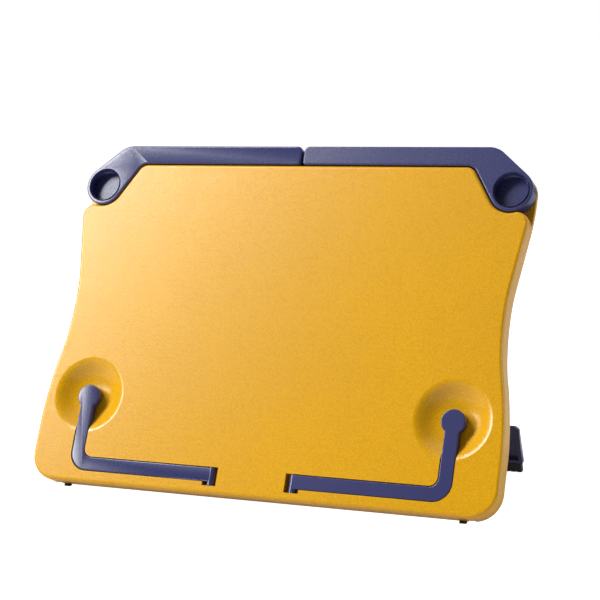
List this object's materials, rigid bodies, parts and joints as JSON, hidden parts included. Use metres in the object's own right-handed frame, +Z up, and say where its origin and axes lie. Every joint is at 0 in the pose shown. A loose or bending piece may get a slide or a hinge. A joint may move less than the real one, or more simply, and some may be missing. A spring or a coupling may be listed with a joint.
{
  "type": "folding book stand",
  "caption": "Folding book stand: waisted moulded board with swing-up top arms, L-shaped page holders in slots with finger dishes, and a wide rear leg on a click hinge.",
  "frame": {"origin": "on the ground, under the middle of the whole stand as it stands open", "axes": "+X to the right seen from the front, -Y towards the reader, +Z up"},
  "size_m": [0.3236, 0.1598, 0.2239],
  "materials": {
    "board_yellow": "fine leather-grained moulding, satin",
    "trim_blue": "satin moulding",
    "bright_steel": "bright zinc-plated",
    "black_rubber": "matt",
    "white_acetal": "smooth acetal"
  },
  "bodies": {
    "board": {"front_panel": "board_yellow", "rear_shell": "board_yellow", "leg_hinge_rod": "bright_steel", "right_holder_pin": "bright_steel", "right_base_pad": "black_rubber", "right_click_disc": "white_acetal", "right_click_spring": "bright_steel", "right_shell_screw_1": "bright_steel", "right_shell_screw_2": "bright_steel", "right_shell_screw_3": "bright_steel", "right_shell_screw_4": "bright_steel", "right_shell_screw_5": "bright_steel", "left_holder_pin": "bright_steel", "left_base_pad": "black_rubber", "left_click_disc": "white_acetal", "left_click_spring": "bright_steel", "left_shell_screw_1": "bright_steel", "left_shell_screw_2": "bright_steel", "left_shell_screw_3": "bright_steel", "left_shell_screw_4": "bright_steel", "left_shell_screw_5": "bright_steel"},
    "right_arm": {"right_top_arm": "trim_blue", "right_arm_washer": "bright_steel", "right_arm_screw": "bright_steel"},
    "left_arm": {"left_top_arm": "trim_blue", "left_arm_washer": "bright_steel", "left_arm_screw": "bright_steel"},
    "right_holder": {"right_page_holder": "trim_blue"},
    "left_holder": {"left_page_holder": "trim_blue"},
    "leg": {"rear_leg": "trim_blue", "right_foot_shoe": "black_rubber", "left_foot_shoe": "black_rubber"}
  },
  "joints": [
    {"name": "right_arm_swing", "type": "hinge", "parent": "board", "child": "right_arm", "pos_m": [0.1462, 0.0089, 0.19557], "axis": [0, 0.9135, -0.4067], "range_deg": [0, 120]},
    {"name": "left_arm_swing", "type": "hinge", "parent": "board", "child": "left_arm", "pos_m": [-0.1462, 0.0089, 0.19557], "axis": [0, -0.9135, 0.4067], "range_deg": [0, 120]},
    {"name": "right_holder_swing", "type": "hinge", "parent": "board", "child": "right_holder", "pos_m": [0.0285, -0.07303, 0.01695], "axis": [0, -0.4067, -0.9135], "range_deg": [0, 90]},
    {"name": "left_holder_swing", "type": "hinge", "parent": "board", "child": "left_holder", "pos_m": [-0.0285, -0.07303, 0.01695], "axis": [0, 0.4067, 0.9135], "range_deg": [0, 90]},
    {"name": "leg_fold", "type": "hinge", "parent": "board", "child": "leg", "pos_m": [0, 0.01582, 0.19906], "axis": [1, 0, 0], "range_deg": [-40.5, 49.5]}
  ]
}
